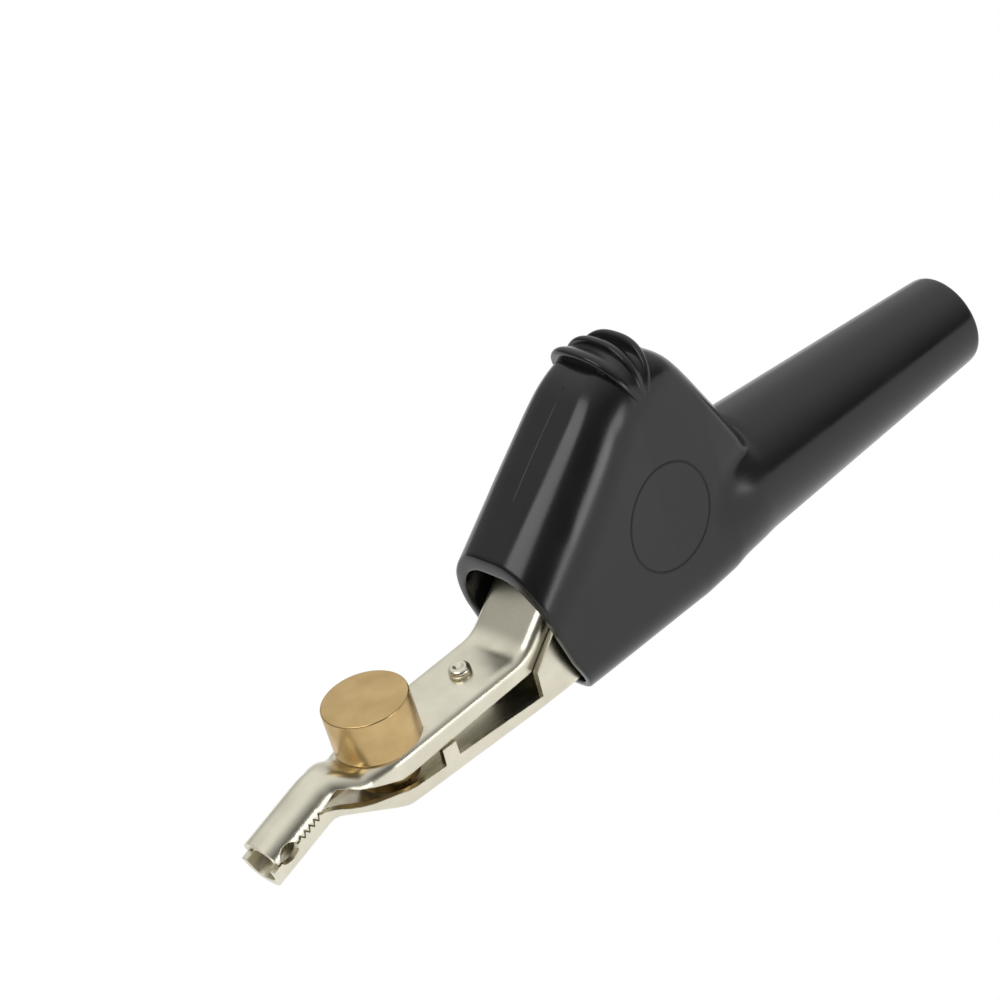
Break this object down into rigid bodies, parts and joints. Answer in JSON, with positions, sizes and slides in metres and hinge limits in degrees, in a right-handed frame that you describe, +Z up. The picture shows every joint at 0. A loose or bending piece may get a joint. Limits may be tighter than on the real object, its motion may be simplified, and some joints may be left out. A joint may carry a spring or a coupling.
{
  "type": "crocodile clip",
  "caption": "Angled crocodile test clip with a sprung upper jaw, piercing brass nail cup and spike, and a soft black boot with a lead inlet.",
  "frame": {"origin": "on the plane that the boot's flat belly rests on, half way along the clip and on its plane of symmetry", "axes": "+X from the nose towards the boot's tail, +Z up from the belly to the boot's crown, +Y along the hinge pin"},
  "size_m": [0.1072, 0.0156, 0.0341],
  "materials": {
    "nickel_plate": "bright nickel plate with a warm tint",
    "spring_steel": "drawn wire",
    "brass": "satin turned brass",
    "boot_black": "soft glossy black"
  },
  "bodies": {
    "clip_base": {"lower_jaw": "nickel_plate", "hinge_pin": "nickel_plate", "torsion_spring": "spring_steel", "terminal_screw": "brass", "terminal_washer": "brass", "boot": "boot_black"},
    "jaw_lever": {"upper_jaw": "nickel_plate", "nail_barrel": "brass", "nail_bed": "brass", "needle_1": "spring_steel", "needle_2": "spring_steel", "needle_3": "spring_steel", "needle_4": "spring_steel", "needle_5": "spring_steel", "spike": "nickel_plate"}
  },
  "joints": [
    {"name": "jaw_hinge", "type": "hinge", "parent": "clip_base", "child": "jaw_lever", "pos_m": [-0.00937, 0, 0.0096], "axis": [0, 1, 0], "range_deg": [0, 20], "stiffness_Nm_per_rad": 0.3, "springref_deg": -34.38, "deforming": ["torsion_spring"]}
  ]
}
